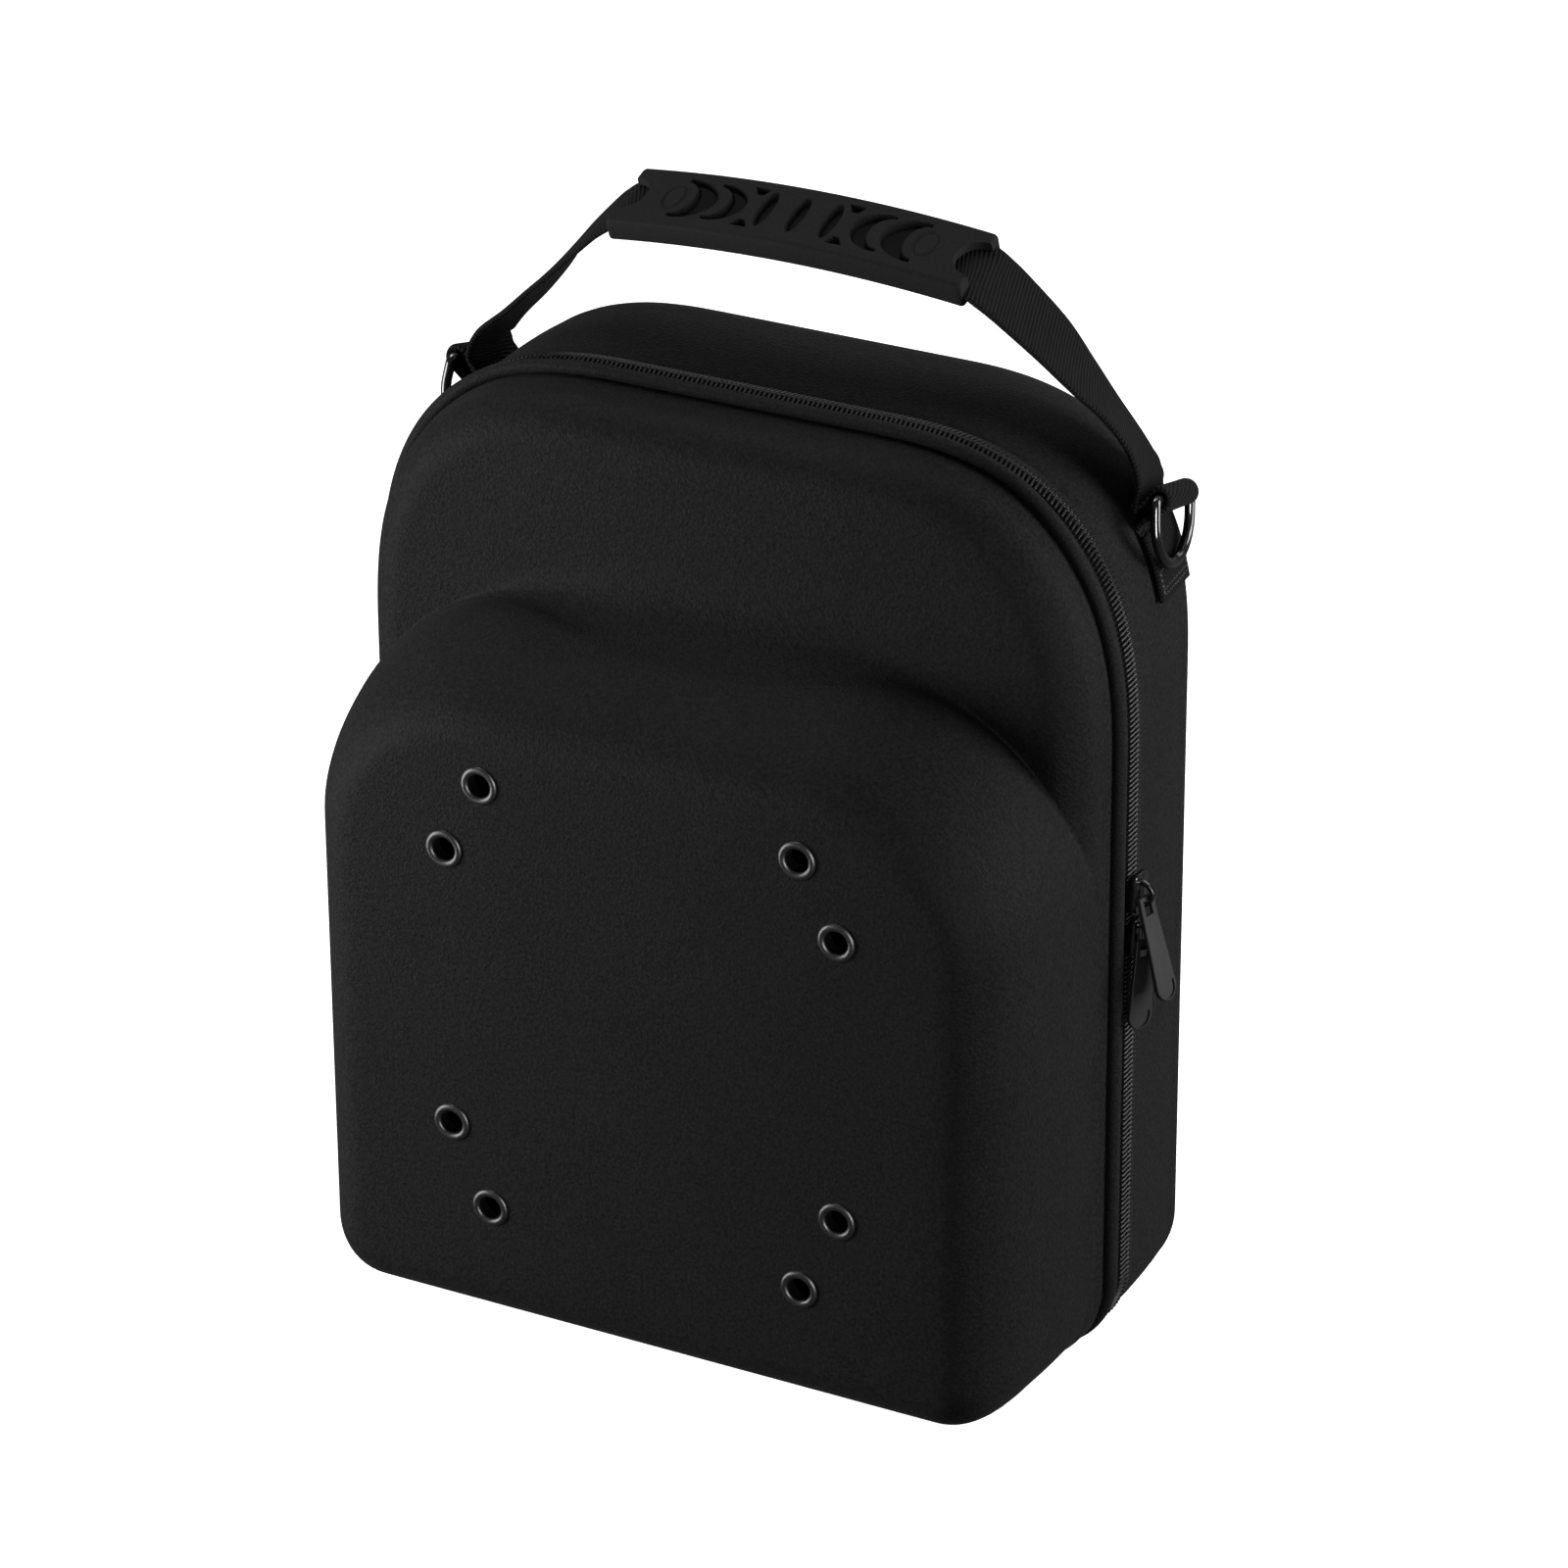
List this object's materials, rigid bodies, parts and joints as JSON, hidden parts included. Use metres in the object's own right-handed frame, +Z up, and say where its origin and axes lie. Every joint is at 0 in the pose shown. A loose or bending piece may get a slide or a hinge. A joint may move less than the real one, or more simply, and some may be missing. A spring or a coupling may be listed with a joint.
{
  "type": "cap carrier",
  "caption": "Moulded zip-up case for carrying caps, with a stepped front bulge, vent eyelets, a webbing handle with a soft grip, and side rings for a shoulder strap.",
  "frame": {"origin": "on the flat base under the front shell, on the carrier's middle plane, 20 mm in front of the zip's plane", "axes": "+X to the right seen from the front, +Y towards the back, +Z up"},
  "size_m": [0.282, 0.1507, 0.362],
  "materials": {
    "shell_fabric": "matt woven polyester laminated on moulded foam",
    "piping_fabric": "matt woven piping",
    "webbing": "ribbed woven webbing",
    "zip_tape": "fine woven tape",
    "zip_coil": "satin nylon coil",
    "grip_rubber": "matt moulded rubber",
    "black_metal": "glossy black enamel"
  },
  "bodies": {
    "case": {"front_shell": "shell_fabric", "rear_shell": "shell_fabric", "front_piping": "piping_fabric", "zip_chain": "zip_coil", "zip_tape_front": "zip_tape", "zip_tape_rear": "zip_tape", "hinge_strip": "zip_tape", "slider_upper": "black_metal", "slider_lower": "black_metal", "eyelet_top_left_inner": "black_metal", "eyelet_top_left_outer": "black_metal", "eyelet_top_right_inner": "black_metal", "eyelet_top_right_outer": "black_metal", "eyelet_bottom_left_inner": "black_metal", "eyelet_bottom_left_outer": "black_metal", "eyelet_bottom_right_inner": "black_metal", "eyelet_bottom_right_outer": "black_metal", "handle_strap": "webbing", "handle_grip": "grip_rubber"},
    "upper_puller": {"puller_upper": "black_metal"},
    "lower_puller": {"puller_lower": "black_metal"},
    "left_ring": {"ring_left": "black_metal"},
    "right_ring": {"ring_right": "black_metal"}
  },
  "joints": [
    {"name": "upper_puller_swing", "type": "hinge", "parent": "case", "child": "upper_puller", "pos_m": [0.13645, 0.02, 0.1651], "axis": [0, -1, 0], "range_deg": [0, 110]},
    {"name": "lower_puller_swing", "type": "hinge", "parent": "case", "child": "lower_puller", "pos_m": [0.13645, 0.02, 0.1501], "axis": [0, -1, 0], "range_deg": [0, 20]},
    {"name": "left_ring_swing", "type": "hinge", "parent": "case", "child": "left_ring", "pos_m": [-0.1247, 0.059, 0.2839], "axis": [0.0506, 0.9646, -0.2588], "range_deg": [0, 130]},
    {"name": "right_ring_swing", "type": "hinge", "parent": "case", "child": "right_ring", "pos_m": [0.1247, 0.059, 0.2839], "axis": [0.0506, -0.9646, 0.2588], "range_deg": [0, 130]}
  ]
}
